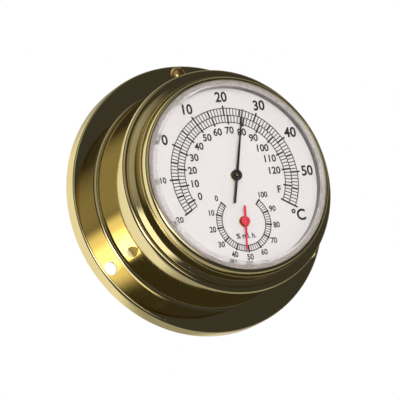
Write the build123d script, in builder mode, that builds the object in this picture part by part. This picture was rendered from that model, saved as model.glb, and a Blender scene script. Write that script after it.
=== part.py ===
from build123d import *
import math
import os

# Brass wall hygrometer with a thermometer scale round it, in the shape of a ship's porthole.
#
# Frame: the wall is the plane y = 0, the dial faces -Y and +Z is up. The origin is on the case's
# axis. A "depth" is a distance out from the wall towards the viewer, so depth d is y = -d.
# All lengths are millimetres.

# ---- brass case -----------------------------------------------------------------------------
flange_radius = 48.5
flange_face = 5.8  # depth of the flange's front face
flange_sheet = 1.0
flange_roll = 0.98  # rounding of the rim's front edge
flange_opening = 33.5
screw_circle_radius = 45.0
screw_hole_radius = 2.4
screw_count = 3
first_screw_angle = 90  # counted anticlockwise from 3 o'clock, so one hole is at the top

drum_radius = 39.5
drum_wall = 0.8
drum_front = 26.7
foot_flare = 1.5  # the drum's foot spreads on to the flange
foot_edge = 0.15

bezel_radius = 39.9
bezel_back = 26.75
bezel_bore = 34.15
bezel_bore_back = 27.1
spigot_radius = 38.65
spigot_inner = 37.4
spigot_back = 22.3
lip_radius = 33.6
lip_front = 36.7
lip_edge = 0.35  # height of the lip's inner edge
lip_corner = 0.1
lip_root_front = 35.9  # where the bore meets the slope under the lip

# ---- glass, dial and what holds them --------------------------------------------------------
stack_radius = 34.1  # everything that drops into the bezel's bore
dial_face = 32.75
dial_sheet = 0.6
window_radius = 31.25
glass_back = 35.55
glass_edge_front = 35.88
glass_front = 38.3
gasket_thickness = 0.35
gasket_inner = 33.0
carrier_thickness = 2.0
ring_thickness = 2.5
ring_inner = 31.5
spanner_hole_radius = 0.7
spanner_hole_count = 4
spanner_hole_depth = 1.5
carrier_slot_circle = 24.0
carrier_slot_count = 6
carrier_slot_length = 7.0
carrier_slot_width = 3.0

# ---- what both movements share --------------------------------------------------------------
arbor_radius = 0.4
bearing_radius = 0.45  # 0.05 mm of running clearance round the arbor
arbor_back = 12.9
arbor_front = 34.45
arbor_rounding = 0.2
pointer_back = 34.0
pointer_sheet = 0.3
collar_radius = 0.8
collar_back = 33.5
front_bush_head = 0.5
front_bush_radius = 1.4
front_bush_head_radius = 1.95
front_bush_chamfer = 0.12
front_bush_back = 28.65
nut_thickness = 1.2
nut_across_flats = 4.6
bridge_back = 14.1
bridge_sheet = 1.0
bridge_bend = 1.5  # outer radius of the bridge's bends
foot_length = 5.0
foot_screw_share = 0.55  # how far along its foot each screw stands
rear_bush_radius = 1.8
rear_bush_head_radius = 2.4
rear_bush_head = 0.6
rear_bush_front = 17.0
adjuster_clearance = 0.05
adjuster_sheet = 0.8
adjuster_hub_radius = 3.6
adjuster_notch_width = 0.9
adjuster_notch_depth = 1.2
tail_overhang = 3.3  # how far the adjuster's tail runs past the bridge
stud_overhang = 0.6  # how far the stud stands proud of the coil
washer_radius = 3.06
washer_thickness = 0.3
coil_strip = 0.35
coil_back = 19.0
coil_width = 4.0
half_turns = 10
collet_gap = 0.12
collet_overhang = 0.5
bridge_screw_radius = 0.8
bridge_screw_head_radius = 1.5
bridge_screw_head = 0.9
bridge_screw_length = 2.4
bridge_screw_clearance = 0.1
bridge_screw_slot = 0.5
bridge_screw_slot_depth = 0.45

# ---- back cover and fixing screws -----------------------------------------------------------
cover_radius = 37.2
cover_back = 3.0
cover_spigot_radius = 33.3
cover_spigot_front = 6.8
cover_spigot_wall = 1.6
cover_rounding = 0.6
cover_screw_circle = 35.6
cover_screw_radius = 1.0
cover_screw_head_radius = 1.8
cover_screw_head = 1.0
cover_screw_front = 6.4
cover_screw_clearance = 0.1
cover_screw_slot = 0.6
cover_screw_slot_depth = 0.5
first_cover_screw_angle = 30
vent_count = 12
vent_circle = 23.0
vent_length = 11.0
vent_width = 2.4
first_vent_angle = 15
access_radius = 2.0
access_inset = 1.3  # from the end of the adjuster's tail to the middle of its access hole

wall_screw_head_radius = 3.1
wall_screw_head = 2.3
wall_screw_neck_radius = 1.7
wall_screw_thread_radius = 1.9
wall_screw_thread = 13.0
wall_screw_tip = 4.0
wall_screw_point = 0.2
wall_screw_slot = 0.8
wall_screw_slot_depth = 1.0
wall_screw_turn = 35  # its slot, clockwise from upright
slot_overrun = 1.0  # how far a slot's cutter runs past each side of the head

# A section plane: local x is the radius, local y is the depth.
SECTION = Plane(origin=(0, 0, 0), x_dir=(1, 0, 0), z_dir=(0, 0, -1))


def facing(depth, height=0.0, turn=0.0):
    """A plane square to the case's axis that faces the viewer, turned clockwise by turn degrees."""
    across = (math.cos(math.radians(turn)), 0, -math.sin(math.radians(turn)))
    return Plane(origin=(0, -depth, height), x_dir=across, z_dir=(0, -1, 0))


def section_at(height):
    """The section plane through an arbor at this height."""
    return Plane(origin=(0, 0, height), x_dir=(1, 0, 0), z_dir=(0, 0, -1))


def arbor_axis(height):
    return Axis((0, 0, height), (0, 1, 0))


def band(inner, outer, back, front, mode=Mode.ADD):
    """A rectangle of the section, from one radius to another and from one depth to another."""
    with Locations(((inner + outer) / 2, (back + front) / 2)):
        Rectangle(outer - inner, front - back, mode=mode)


def save(part, name):
    part.label = name
    export_step(part, f"parts/{name}.step")


os.makedirs("parts", exist_ok=True)

# ---- base flange: one pressed pan, hollow behind, with a skirt that stands on the wall --------
with BuildPart() as base_flange:
    with BuildSketch(SECTION):
        band(flange_opening, flange_radius, flange_face - flange_sheet, flange_face)
        band(flange_radius - flange_sheet, flange_radius, 0, flange_face)
        front_corner = vertices().sort_by(lambda v: v.X + v.Y)[-1]
        fillet(front_corner, flange_roll)
    revolve(axis=Axis.Y)
    with BuildSketch(facing(flange_face)):
        with PolarLocations(screw_circle_radius, screw_count, start_angle=first_screw_angle):
            Circle(screw_hole_radius)
        with PolarLocations(cover_screw_circle, screw_count, start_angle=first_cover_screw_angle):
            Circle(cover_screw_radius)
    extrude(amount=-flange_sheet, mode=Mode.SUBTRACT)
save(base_flange.part, "base_flange")

# ---- drum: a drawn tube whose foot is flared and soldered to the flange -----------------------
foot_radius = drum_radius + foot_flare
flare_top = flange_face + foot_edge + foot_flare
flare_mid = foot_flare * (1 - math.sqrt(0.5))
with BuildPart() as case_drum:
    with BuildSketch(SECTION):
        with BuildLine():
            wall_line = Polyline(
                (drum_radius, flare_top),
                (drum_radius, drum_front),
                (drum_radius - drum_wall, drum_front),
                (drum_radius - drum_wall, flange_face),
                (foot_radius, flange_face),
                (foot_radius, flange_face + foot_edge),
            )
            ThreePointArc(
                wall_line @ 1,
                (drum_radius + flare_mid, flange_face + foot_edge + flare_mid),
                wall_line @ 0,
            )
        make_face()
    revolve(axis=Axis.Y)
save(case_drum.part, "case_drum")

# ---- bezel: turned ring with a roll, a groove, a sloping band, a steep wall, a ridge and a lip ---
roll_side, roll_mid, roll_top = (bezel_radius, 27.3), (39.6, 28.25), (38.6, 28.75)
groove_floor, band_top = (37.6, 28.6), (35.95, 29.2)
corner_mid, wall_foot = (35.81, 29.3), (35.75, 29.5)
wall_top, ridge_crest, ridge_foot = (35.6, 33.5), (35.42, 33.95), (35.12, 33.9)
lip_side, lip_shoulder, lip_top = (34.95, 35.3), (34.55, 36.25), (lip_radius + lip_corner, lip_front)
with BuildPart() as bezel_ring:
    with BuildSketch(SECTION):
        with BuildLine():
            ThreePointArc(roll_side, roll_mid, roll_top)
            Polyline(roll_top, groove_floor, band_top)
            ThreePointArc(band_top, corner_mid, wall_foot)
            Line(wall_foot, wall_top)
            ThreePointArc(wall_top, ridge_crest, ridge_foot)
            Line(ridge_foot, lip_side)
            ThreePointArc(lip_side, lip_shoulder, lip_top)
            Polyline(
                lip_top,
                (lip_radius, lip_front - lip_corner),
                (lip_radius, lip_front - lip_edge),
                (bezel_bore, lip_root_front),
                (bezel_bore, bezel_bore_back),
                (spigot_inner, bezel_bore_back),
                (spigot_inner, spigot_back),
                (spigot_radius, spigot_back),
                (spigot_radius, bezel_back),
                (bezel_radius, bezel_back),
                roll_side,
            )
        make_face()
    revolve(axis=Axis.Y)
save(bezel_ring.part, "bezel_ring")

# ---- glass: thick disc with a wide ground bevel ------------------------------------------------
with BuildPart() as front_glass:
    with BuildSketch(SECTION):
        with BuildLine():
            Polyline(
                (0, glass_back),
                (stack_radius, glass_back),
                (stack_radius, glass_edge_front),
                (window_radius, glass_front),
                (0, glass_front),
                close=True,
            )
        make_face()
    revolve(axis=Axis.Y)
save(front_glass.part, "front_glass")

# ---- the stack in the bezel's bore, from the glass back ----------------------------------------
gasket_back = glass_back - gasket_thickness
with BuildPart() as glass_gasket:
    with BuildSketch(SECTION):
        band(gasket_inner, stack_radius, gasket_back, glass_back)
    revolve(axis=Axis.Y)
save(glass_gasket.part, "glass_gasket")

with BuildPart() as spacer_ring:
    with BuildSketch(SECTION):
        band(window_radius, stack_radius, dial_face, gasket_back)
    revolve(axis=Axis.Y)
save(spacer_ring.part, "spacer_ring")

# The temperature arbor stands at the middle of the dial and the humidity arbor below it.
humidity_height = -16.25
carrier_front = dial_face - dial_sheet
carrier_back = carrier_front - carrier_thickness

with BuildPart() as dial_plate:
    with BuildSketch(facing(dial_face)):
        Circle(stack_radius)
        with Locations((0, 0), (0, humidity_height)):
            Circle(front_bush_radius, mode=Mode.SUBTRACT)
    extrude(amount=-dial_sheet)
save(dial_plate.part, "dial_plate")

ring_back = carrier_back - ring_thickness
with BuildPart() as retaining_ring:
    with BuildSketch(SECTION):
        band(ring_inner, stack_radius, ring_back, carrier_back)
    revolve(axis=Axis.Y)
    with BuildSketch(facing(ring_back)):
        with PolarLocations((ring_inner + stack_radius) / 2, spanner_hole_count):
            Circle(spanner_hole_radius)
    extrude(amount=spanner_hole_depth, mode=Mode.SUBTRACT)
save(retaining_ring.part, "retaining_ring")


# ---- the two movements -------------------------------------------------------------------------
# Each is a spiral coil between an adjuster, which sets the zero, and a collet on the arbor.
class Movement:
    """Sizes of one movement. up is +1 where its coil's stud stands above the arbor, else -1."""

    def __init__(self, name, height, up, leg_inner, half_width, coil_start, coil_pitch, stud_radius):
        self.name = name
        self.height = height
        self.up = up
        self.leg_inner = leg_inner
        self.half_width = half_width
        self.coil_start = coil_start
        self.coil_pitch = coil_pitch
        self.stud_radius = stud_radius

    @property
    def collet_radius(self):
        return self.coil_start - coil_strip / 2 - collet_gap

    @property
    def stud_reach(self):
        """How far the stud stands from the arbor: it touches the outside of the coil's last turn."""
        return self.coil_start + half_turns / 2 * self.coil_pitch + coil_strip / 2 + self.stud_radius

    @property
    def tail_reach(self):
        """How far the adjuster's tail runs past the bridge, where a screwdriver can push it."""
        return self.half_width + tail_overhang

    @property
    def foot_screw_x(self):
        return self.leg_inner + bridge_sheet + foot_length * foot_screw_share


temperature = Movement(
    name="temperature",
    height=0.0,
    up=1,
    leg_inner=11.0,
    half_width=3.0,
    coil_start=2.3,
    coil_pitch=1.1,
    stud_radius=0.6,
)
humidity = Movement(
    name="humidity",
    height=humidity_height,
    up=-1,
    leg_inner=9.0,
    half_width=2.5,
    coil_start=2.0,
    coil_pitch=0.9,
    stud_radius=0.5,
)
movements = [temperature, humidity]

with BuildPart() as dial_carrier:
    with BuildSketch(facing(carrier_front)):
        Circle(stack_radius)
        for m in movements:
            with Locations((0, m.height)):
                Circle(front_bush_radius, mode=Mode.SUBTRACT)
            with Locations((-m.foot_screw_x, m.height), (m.foot_screw_x, m.height)):
                Circle(bridge_screw_radius, mode=Mode.SUBTRACT)
        with PolarLocations(carrier_slot_circle, carrier_slot_count):
            SlotOverall(carrier_slot_length, carrier_slot_width, rotation=90, mode=Mode.SUBTRACT)
    extrude(amount=-carrier_thickness)
save(dial_carrier.part, "dial_carrier")

rear_face = bridge_back + bridge_sheet
adjuster_back = rear_face + adjuster_clearance
adjuster_front = adjuster_back + adjuster_sheet
washer_back = adjuster_front + adjuster_clearance
for m in movements:
    axis = arbor_axis(m.height)
    with BuildPart() as front_bush:
        with BuildSketch(section_at(m.height)):
            band(bearing_radius, front_bush_head_radius, dial_face, dial_face + front_bush_head)
            band(bearing_radius, front_bush_radius, front_bush_back, dial_face)
        revolve(axis=axis)
        front_face = front_bush.faces().sort_by(Axis.Y)[0]
        chamfer(front_face.outer_wire().edges(), front_bush_chamfer)
    save(front_bush.part, f"{m.name}_front_bush")

    with BuildPart() as bush_nut:
        with BuildSketch(facing(carrier_back, m.height)):
            RegularPolygon(nut_across_flats / 2, 6, major_radius=False)
            Circle(front_bush_radius, mode=Mode.SUBTRACT)
        extrude(amount=-nut_thickness)
    save(bush_nut.part, f"{m.name}_bush_nut")

    leg_outer = m.leg_inner + bridge_sheet
    with BuildPart() as bridge:
        with BuildSketch(section_at(m.height)):
            band(-leg_outer, leg_outer, bridge_back, carrier_back)
            fillet(vertices().group_by(Axis.Y)[0], bridge_bend)
            band(-m.leg_inner, m.leg_inner, rear_face, carrier_back, mode=Mode.SUBTRACT)
            for side in (-1, 1):
                near, far = sorted((side * m.leg_inner, side * (leg_outer + foot_length)))
                band(near, far, carrier_back - bridge_sheet, carrier_back)
        extrude(amount=m.half_width, both=True)
        with BuildSketch(facing(carrier_back, m.height)):
            with Locations((-m.foot_screw_x, 0), (m.foot_screw_x, 0)):
                Circle(bridge_screw_radius + bridge_screw_clearance)
        extrude(amount=-bridge_sheet, mode=Mode.SUBTRACT)
        with BuildSketch(facing(rear_face, m.height)):
            Circle(rear_bush_radius)
        extrude(amount=-bridge_sheet, mode=Mode.SUBTRACT)
    save(bridge.part, f"{m.name}_bridge")

    with BuildPart() as bridge_screws:
        for side in (-1, 1):
            screw_section = Plane(
                origin=(side * m.foot_screw_x, 0, m.height), x_dir=(1, 0, 0), z_dir=(0, 0, -1)
            )
            head_front = carrier_back - bridge_sheet
            with BuildSketch(screw_section):
                band(0, bridge_screw_head_radius, head_front - bridge_screw_head, head_front)
                band(0, bridge_screw_radius, head_front, head_front + bridge_screw_length)
            revolve(axis=Axis((side * m.foot_screw_x, 0, m.height), (0, 1, 0)))
            slot_plane = facing(head_front - bridge_screw_head, m.height)
            with BuildSketch(slot_plane):
                with Locations((side * m.foot_screw_x, 0)):
                    Rectangle(bridge_screw_slot, 2 * (bridge_screw_head_radius + slot_overrun))
            extrude(amount=bridge_screw_slot_depth, mode=Mode.SUBTRACT)
    save(bridge_screws.part, f"{m.name}_bridge_screws")

    with BuildPart() as rear_bush:
        with BuildSketch(section_at(m.height)):
            band(bearing_radius, rear_bush_radius, bridge_back, rear_bush_front)
            head_back = bridge_back - rear_bush_head
            band(bearing_radius, rear_bush_head_radius, head_back, bridge_back)
        revolve(axis=axis)
    save(rear_bush.part, f"{m.name}_rear_bush")

    with BuildPart() as adjuster:
        with BuildSketch(facing(adjuster_back, m.height)):
            Circle(adjuster_hub_radius)
            arm_width = 2 * (2 * m.stud_radius)
            reach = m.up * (m.stud_reach + m.stud_radius)
            with Locations((0, reach / 2)):
                Rectangle(arm_width, abs(reach))
            tail = -m.up * m.tail_reach
            with Locations((0, tail / 2)):
                Rectangle(arm_width, abs(tail))
            with Locations((0, tail)):
                Rectangle(adjuster_notch_width, 2 * adjuster_notch_depth, mode=Mode.SUBTRACT)
            Circle(rear_bush_radius + adjuster_clearance, mode=Mode.SUBTRACT)
        extrude(amount=adjuster_sheet)
        with BuildSketch(facing(adjuster_front, m.height)):
            with Locations((0, m.up * m.stud_reach)):
                Circle(m.stud_radius)
        extrude(amount=coil_back + coil_width + stud_overhang - adjuster_front)
    save(adjuster.part, f"{m.name}_adjuster")

    with BuildPart() as adjuster_washer:
        with BuildSketch(section_at(m.height)):
            band(rear_bush_radius, washer_radius, washer_back, washer_back + washer_thickness)
        revolve(axis=axis)
    save(adjuster_washer.part, f"{m.name}_adjuster_washer")

    # The coil is drawn as half circles whose centres step to and fro by half the pitch.
    with BuildPart() as coil:
        with BuildSketch(facing(coil_back, m.height, -90 * m.up)):
            with BuildLine():
                for edge in (-coil_strip / 2, coil_strip / 2):
                    for i in range(half_turns):
                        centre = (i % 2) * m.coil_pitch / 2
                        radius = m.coil_start + i * m.coil_pitch / 2 + edge
                        CenterArc((centre, 0), radius, 180 * (i % 2), 180)
                start = m.coil_start
                end = m.coil_start + half_turns / 2 * m.coil_pitch
                for x in (start, end):
                    Line((x - coil_strip / 2, 0), (x + coil_strip / 2, 0))
            make_face()
        extrude(amount=coil_width)
    save(coil.part, f"{m.name}_coil")

    with BuildPart() as collet:
        with BuildSketch(section_at(m.height)):
            collet_back = coil_back - collet_overhang
            collet_front = coil_back + coil_width + collet_overhang
            band(arbor_radius, m.collet_radius, collet_back, collet_front)
        revolve(axis=axis)
    save(collet.part, f"{m.name}_collet")

    with BuildPart() as arbor:
        with BuildSketch(section_at(m.height)):
            band(0, arbor_radius, arbor_back, arbor_front)
            band(0, collar_radius, collar_back, pointer_back)
        revolve(axis=axis)
        fillet(arbor.faces().sort_by(Axis.Y)[0].edges(), arbor_rounding)
    save(arbor.part, f"{m.name}_arbor")


# ---- pointers: punched from thin sheet, with a round boss, a needle and a straight tail ---------
def pointer(height, turn, needle, tail, boss, root_width, tip_width, tail_width):
    """A pointer whose needle is turned clockwise from 12 o'clock."""
    with BuildPart() as made:
        with BuildSketch(facing(pointer_back, height, turn)):
            Circle(boss)
            with BuildLine():
                Polyline(
                    (-root_width / 2, 0),
                    (-tip_width / 2, needle),
                    (tip_width / 2, needle),
                    (root_width / 2, 0),
                    close=True,
                )
            make_face()
            with Locations((0, -tail / 2)):
                Rectangle(tail_width, tail)
            Circle(arbor_radius, mode=Mode.SUBTRACT)
        extrude(amount=pointer_sheet)
    return made.part


# The scales: 20 degrees C is at 12 o'clock with 3 degrees of turn for each degree, and
# 50 % is at 6 o'clock with 2.7 degrees of turn for each per cent.
celsius_at_top = 20.0
turn_per_celsius = 3.0
percent_at_bottom = 50.0
turn_per_percent = 2.7
shown_temperature = 25.4
shown_humidity = 47.0
temperature_turn = turn_per_celsius * (shown_temperature - celsius_at_top)
humidity_turn = 180.0 - turn_per_percent * (shown_humidity - percent_at_bottom)

temperature_pointer = pointer(
    height=temperature.height,
    turn=temperature_turn,
    needle=23.9,
    tail=10.2,
    boss=1.9,
    root_width=0.95,
    tip_width=0.35,
    tail_width=0.9,
)
save(temperature_pointer, "temperature_pointer")

humidity_pointer = pointer(
    height=humidity.height,
    turn=humidity_turn,
    needle=10.3,
    tail=5.4,
    boss=1.6,
    root_width=0.8,
    tip_width=0.4,
    tail_width=0.75,
)
save(humidity_pointer, "humidity_pointer")

# ---- back cover: moulded disc with vents for the humidity coil and two adjusting holes ----------
cover_front = flange_face - flange_sheet
with BuildPart() as back_cover:
    with BuildSketch(SECTION):
        band(0, cover_radius, cover_back, cover_front)
        spigot_bore = cover_spigot_radius - cover_spigot_wall
        band(spigot_bore, cover_spigot_radius, cover_front, cover_spigot_front)
    revolve(axis=Axis.Y)
    back_rim = back_cover.edges().group_by(Axis.Y)[-1].sort_by(SortBy.RADIUS)[-1]
    fillet(back_rim, cover_rounding)
    with BuildSketch(facing(cover_back)):
        with PolarLocations(vent_circle, vent_count, start_angle=first_vent_angle):
            SlotOverall(vent_length, vent_width)
        for m in movements:
            with Locations((0, m.height - m.up * (m.tail_reach - access_inset))):
                Circle(access_radius)
        with PolarLocations(cover_screw_circle, screw_count, start_angle=first_cover_screw_angle):
            Circle(cover_screw_radius + cover_screw_clearance)
    extrude(amount=cover_front - cover_back, mode=Mode.SUBTRACT)
save(back_cover.part, "back_cover")

with BuildPart() as back_cover_screws:
    with BuildSketch(facing(cover_back)):
        with PolarLocations(cover_screw_circle, screw_count, start_angle=first_cover_screw_angle):
            Circle(cover_screw_radius)
    extrude(amount=cover_screw_front - cover_back)
    with BuildSketch(facing(cover_back)):
        with PolarLocations(cover_screw_circle, screw_count, start_angle=first_cover_screw_angle):
            Circle(cover_screw_head_radius)
    extrude(amount=-cover_screw_head)
    with BuildSketch(facing(cover_back - cover_screw_head)):
        with PolarLocations(cover_screw_circle, screw_count, start_angle=first_cover_screw_angle):
            Rectangle(cover_screw_slot, 2 * (cover_screw_head_radius + slot_overrun))
    extrude(amount=cover_screw_slot_depth, mode=Mode.SUBTRACT)
save(back_cover_screws.part, "back_cover_screws")

# ---- round-head wood screw in the top hole --------------------------------------------------
dome_radius = (wall_screw_head_radius**2 + wall_screw_head**2) / (2 * wall_screw_head)
dome_centre = flange_face + wall_screw_head - dome_radius
dome_mid = math.radians(60)  # a point part of the way up the dome
wall_screw_section = section_at(screw_circle_radius)
with BuildPart() as top_wall_screw:
    with BuildSketch(wall_screw_section):
        with BuildLine():
            ThreePointArc(
                (wall_screw_head_radius, flange_face),
                (dome_radius * math.cos(dome_mid), dome_centre + dome_radius * math.sin(dome_mid)),
                (0, flange_face + wall_screw_head),
            )
            Polyline(
                (0, flange_face + wall_screw_head),
                (0, -wall_screw_thread - wall_screw_tip),
                (wall_screw_point, -wall_screw_thread - wall_screw_tip),
                (wall_screw_thread_radius, -wall_screw_thread),
                (wall_screw_thread_radius, 0),
                (wall_screw_neck_radius, 0),
                (wall_screw_neck_radius, flange_face),
                (wall_screw_head_radius, flange_face),
            )
        make_face()
    revolve(axis=arbor_axis(screw_circle_radius))
    with BuildSketch(facing(flange_face + wall_screw_head, screw_circle_radius, wall_screw_turn)):
        Rectangle(wall_screw_slot, 2 * (wall_screw_head_radius + slot_overrun))
    extrude(amount=-wall_screw_slot_depth, mode=Mode.SUBTRACT)
save(top_wall_screw.part, "top_wall_screw")
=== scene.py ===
"""Brass porthole hygrometer with a thermometer scale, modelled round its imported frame.

Everything is in the frame's own place: the wall is the plane y = 0, the dial faces -Y and +Z is up.
A "depth" is a distance out from the wall, so a depth d lies at y = -d. Lengths named here are in
millimetres until place() turns them to metres.
"""

import math

import bmesh
import bpy
from bpy.props import FloatProperty, FloatVectorProperty, IntProperty, PointerProperty
from mathutils import Matrix, Vector


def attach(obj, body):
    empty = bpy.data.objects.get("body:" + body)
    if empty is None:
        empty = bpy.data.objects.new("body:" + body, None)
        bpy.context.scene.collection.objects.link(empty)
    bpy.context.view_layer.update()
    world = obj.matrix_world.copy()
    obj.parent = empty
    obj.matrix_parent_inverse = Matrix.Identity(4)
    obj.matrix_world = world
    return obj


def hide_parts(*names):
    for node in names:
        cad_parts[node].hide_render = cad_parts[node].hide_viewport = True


bl_info = {
    "name": "Porthole Hygrometer",
    "version": (1, 0, 0),
    "blender": (4, 5, 0),
    "location": "3D View > Sidebar > Hygrometer",
    "description": "Builds a brass wall hygrometer round its packed frame",
    "category": "Add Mesh",
}

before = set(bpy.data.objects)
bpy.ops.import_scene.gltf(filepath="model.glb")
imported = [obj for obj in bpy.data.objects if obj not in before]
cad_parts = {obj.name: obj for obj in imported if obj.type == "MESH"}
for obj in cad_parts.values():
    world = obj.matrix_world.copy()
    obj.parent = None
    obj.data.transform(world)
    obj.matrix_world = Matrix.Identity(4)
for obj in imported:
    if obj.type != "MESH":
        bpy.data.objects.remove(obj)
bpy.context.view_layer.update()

MM = 0.001
CASE = "case"
DIAL_FACE = 32.75  # depth of the dial's white face
AIM = 33.7  # depth of the point that the camera and the light are set out from
HUMIDITY_HEIGHT = -16.25  # the humidity arbor stands this far below the middle
WINDOW_RADIUS = 31.25  # the glass is flat and clear inside this, and the dial shows through it


# ---- colours, places and nodes ------------------------------------------------------------------
def colour(code):
    """The linear colour of an sRGB hex code."""

    def channel(pair):
        value = int(pair, 16) / 255
        return value / 12.92 if value <= 0.04045 else ((value + 0.055) / 1.055) ** 2.4

    red, green, blue = (channel(code[i : i + 2]) for i in (0, 2, 4))
    return (red, green, blue, 1.0)


def scaled(tint, *shares):
    """A colour with its red, green and blue each multiplied by a share."""
    return (*(channel * share for channel, share in zip(tint, shares)), 1.0)


def place(across, depth, height=0.0):
    """A point in metres from millimetres across, out from the wall and up."""
    return Vector((across * MM, -depth * MM, height * MM))


def clock(radius, turn, height=0.0):
    """Across and up, in millimetres, of a point turn degrees clockwise from 12 o'clock."""
    angle = math.radians(turn)
    return radius * math.sin(angle), height + radius * math.cos(angle)


def add(tree, kind, inputs=(), **settings):
    """Adds a node. inputs gives each socket a value, or the output that feeds it.

    It names the sockets, or is a tuple that fills them in order. A MapRange takes the value, the
    range it comes in and the range it is turned to.
    """
    made = tree.nodes.new("ShaderNode" + kind)
    for name, value in settings.items():
        setattr(made, name, value)
    for socket, value in inputs.items() if isinstance(inputs, dict) else enumerate(inputs):
        if isinstance(value, bpy.types.NodeSocket):
            tree.links.new(value, made.inputs[socket])
        else:
            made.inputs[socket].default_value = value
    return made


def blank(name):
    """A new material with an empty tree, and its object coordinates."""
    made = bpy.data.materials.new(name)
    made.use_nodes = True
    made.node_tree.nodes.clear()
    return made, made.node_tree, add(made.node_tree, "TexCoord").outputs["Object"]


def show(tree, shader):
    add(tree, "OutputMaterial", {"Surface": shader})


# ---- sizes and colours that a user would change -------------------------------------------------
def length(name, text, millimetres):
    return FloatProperty(
        name=name, description=text, default=millimetres * MM, min=0.0, precision=5, unit="LENGTH"
    )


def shade(name, text, code):
    return FloatVectorProperty(
        name=name, description=text, default=colour(code), size=4, min=0.0, max=1.0, subtype="COLOR"
    )


class HygrometerDialSizes(bpy.types.PropertyGroup):
    """Sizes of what is printed on the dial."""

    outer_arc: length("Outer arc", "Radius of the arc outside the Celsius scale", 24.05)
    middle_arc: length("Middle arc", "Radius of the arc between the two scales", 21.52)
    inner_arc: length("Inner arc", "Radius of the arc inside the Fahrenheit scale", 19.03)
    humidity_outer: length("Humidity outer arc", "Radius of the humidity scale's outer arc", 10.23)
    humidity_inner: length("Humidity inner arc", "Radius of the humidity scale's inner arc", 8.2)
    fine_line: length("Fine line", "Width of a fine mark", 0.32)
    bold_line: length("Bold line", "Width of a mark at each fifth or tenth", 0.6)
    ink: length("Ink", "Thickness of the printed ink", 0.02)
    weight: FloatProperty(
        name="Weight", description="How much bolder than the font, in ems", default=0.026
    )


class HygrometerFinishes(bpy.types.PropertyGroup):
    """Colours of the case, dial and pointers."""

    brass: shade("Brass", "Polished brass of the case", "EADBA6")
    dial: shade("Dial", "White enamel of the dial", "E9E3E3")
    print_ink: shade("Print", "Black printing ink", "1D1B1C")
    temperature: shade("Temperature pointer", "Black lacquer", "19191B")
    humidity: shade("Humidity pointer", "Red lacquer", "D2243A")
    cover: shade("Back cover", "Black moulded plastic", "1C1C1E")


class HygrometerTurning(bpy.types.PropertyGroup):
    """How finely round pieces are turned."""

    steps: IntProperty(name="Steps", description="Sides of a turned piece", default=256, min=32)


class HygrometerStudio(bpy.types.PropertyGroup):
    """Light and floor."""

    floor_drop: length("Floor drop", "How far the floor lies below the dial's middle", 300.0)
    fill_size: length("Fill size", "Width of the diffuse light in front", 700.0)
    fill_power: FloatProperty(
        name="Fill power", description="Power of the diffuse light", default=6.6, unit="POWER"
    )
    sky_size: length("Sky size", "Width of the diffuse light overhead", 3000.0)
    sky_power: FloatProperty(
        name="Sky power", description="Power of the light overhead", default=34.0, unit="POWER"
    )
    box_level: FloatProperty(
        name="Softbox level", description="Brightness of the softbox at its middle", default=7.5
    )


# ---- modelling helpers --------------------------------------------------------------------------
def rest():
    """Leaves edit mode and deselects everything, so the next operator acts on one piece alone."""
    if bpy.context.object and bpy.context.object.mode != "OBJECT":
        bpy.ops.object.mode_set(mode="OBJECT")
    bpy.ops.object.select_all(action="DESELECT")


def hold(piece):
    """Makes one piece the only one selected, and active."""
    rest()
    piece.select_set(True)
    bpy.context.view_layer.objects.active = piece


def drawn_line(name, points):
    """A new piece in edit mode: one vertex drawn out through points, its closed ends merged."""
    rest()
    bpy.ops.mesh.primitive_plane_add(size=MM, location=points[0])
    piece = bpy.context.object
    piece.name = piece.data.name = name
    bpy.ops.object.mode_set(mode="EDIT")
    bpy.ops.mesh.select_mode(type="VERT")
    bpy.ops.mesh.merge(type="CENTER")
    for here, there in zip(points, points[1:]):
        bpy.ops.mesh.extrude_region_move(TRANSFORM_OT_translate={"value": there - here})
    bpy.ops.mesh.select_all(action="SELECT")
    bpy.ops.mesh.remove_doubles(threshold=0.001 * MM)
    return piece


def weld():
    """Merges doubles and turns every face outwards, in edit mode."""
    bpy.ops.mesh.select_all(action="SELECT")
    bpy.ops.mesh.remove_doubles(threshold=0.001 * MM)
    bpy.ops.mesh.normals_make_consistent(inside=False)


def pick(piece, kind, test):
    """Selects the faces or edges whose middle passes the test, in edit mode."""
    bpy.ops.mesh.select_mode(type=kind)
    bpy.ops.mesh.select_all(action="DESELECT")
    shape = bmesh.from_edit_mesh(piece.data)
    for item in shape.faces if kind == "FACE" else shape.edges:
        corners = [piece.matrix_world @ corner.co for corner in item.verts]
        item.select = test(sum(corners, Vector()) / len(corners), corners)
    shape.select_flush_mode()
    bmesh.update_edit_mesh(piece.data)


def settle(piece, sharp=30.0):
    """Puts the piece's place into its mesh and shades it smooth except at sharp edges."""
    hold(piece)
    bpy.ops.object.transform_apply(location=True, rotation=True, scale=True)
    bpy.ops.object.shade_smooth_by_angle(angle=math.radians(sharp))


def dress(piece, finish, body, slot, *nodes):
    """Gives a finished piece its material, its body and the CAD nodes it stands for; the slot
    argument is not used.
    """
    piece.data.materials.clear()
    piece.data.materials.append(finish)
    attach(piece, body)
    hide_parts(*nodes)


def arc(start, middle, end, steps):
    """Points of the circle through three points of a profile, both ends included."""
    (ax, ay), (bx, by), (cx, cy) = start, middle, end
    twice = 2 * (ax * (by - cy) + bx * (cy - ay) + cx * (ay - by))
    a, b, c = ax**2 + ay**2, bx**2 + by**2, cx**2 + cy**2
    x = (a * (by - cy) + b * (cy - ay) + c * (ay - by)) / twice
    y = (a * (cx - bx) + b * (ax - cx) + c * (bx - ax)) / twice
    first = math.atan2(ay - y, ax - x)
    between = (math.atan2(by - y, bx - x) - first) % math.tau
    sweep = (math.atan2(cy - y, cx - x) - first) % math.tau
    if between > sweep:
        sweep -= math.tau
    radius = math.hypot(ax - x, ay - y)
    angles = [first + sweep * i / steps for i in range(steps + 1)]
    return [(x + radius * math.cos(t), y + radius * math.sin(t)) for t in angles]


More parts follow.
